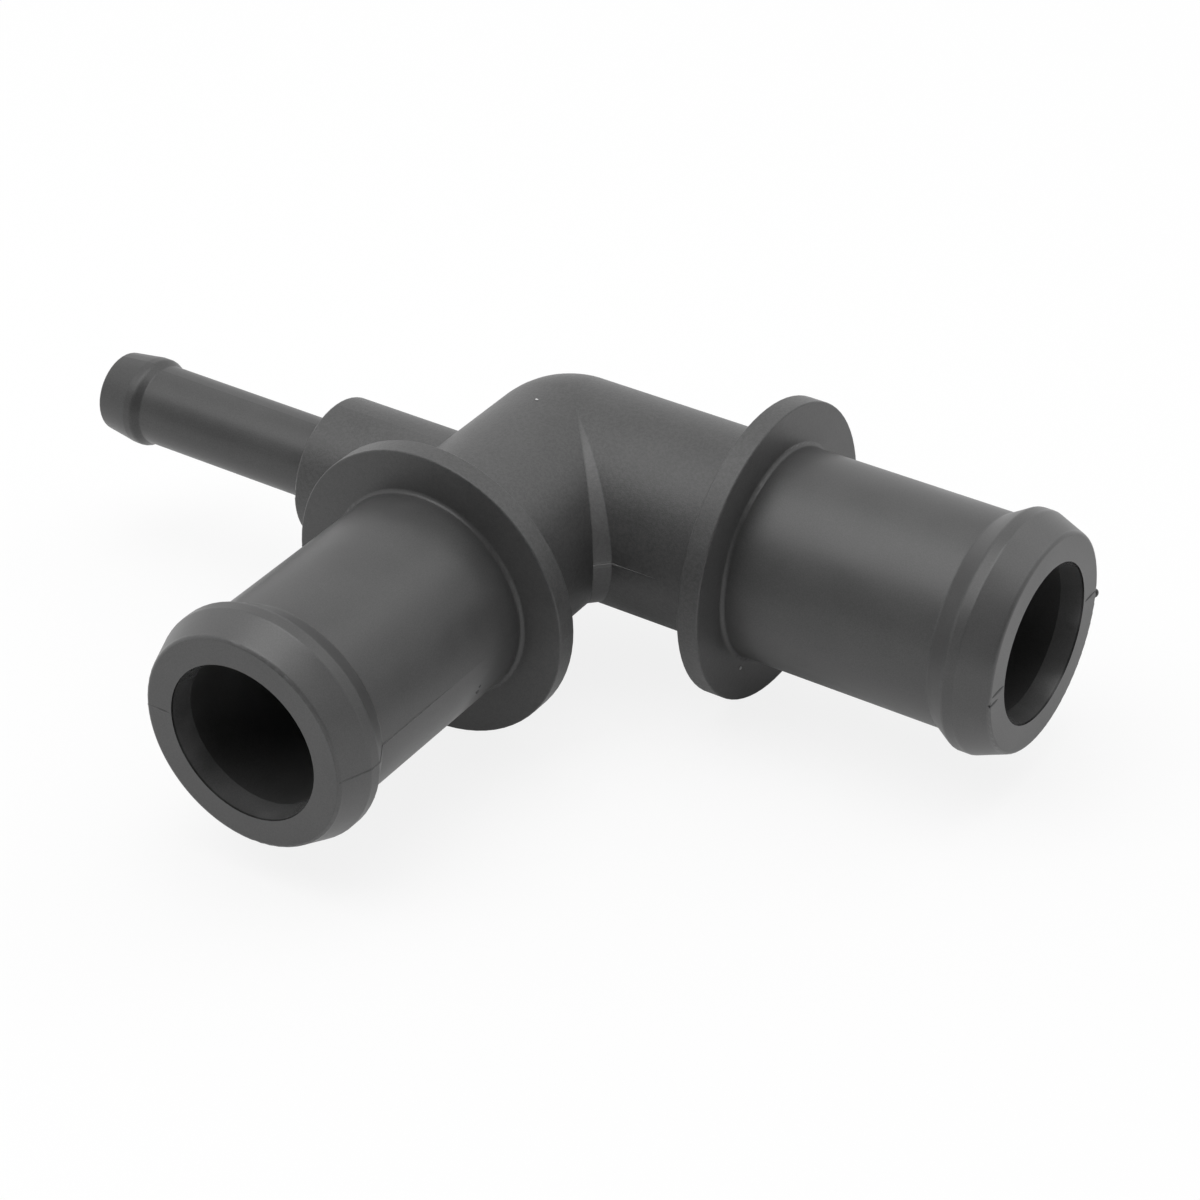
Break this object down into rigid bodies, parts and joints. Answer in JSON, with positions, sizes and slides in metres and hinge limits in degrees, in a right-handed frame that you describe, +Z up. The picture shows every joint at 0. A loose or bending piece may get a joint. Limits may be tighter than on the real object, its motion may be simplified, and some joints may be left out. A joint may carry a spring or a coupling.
{
  "type": "hose tee connector",
  "caption": "Moulded hose tee: an elbow with two equal beaded hose spigots at a right angle, each behind a stop flange, and a small beaded vent spigot on the side of one leg.",
  "frame": {"origin": "crossing of the axes of the two large bores, at the middle of the elbow", "axes": "all three axes lie in the plane z = 0: one leg points along -Y, the other along +X, the vent spigot along -X from the leg along -Y, and +Z is up from that plane"},
  "size_m": [0.0946, 0.0635, 0.0282],
  "materials": {
    "plastic": "moulded glass-filled nylon, black, satin with a fine grain on the elbow and smoother on the spigots"
  },
  "bodies": {
    "root": {"tee_body": "plastic"}
  },
  "joints": []
}
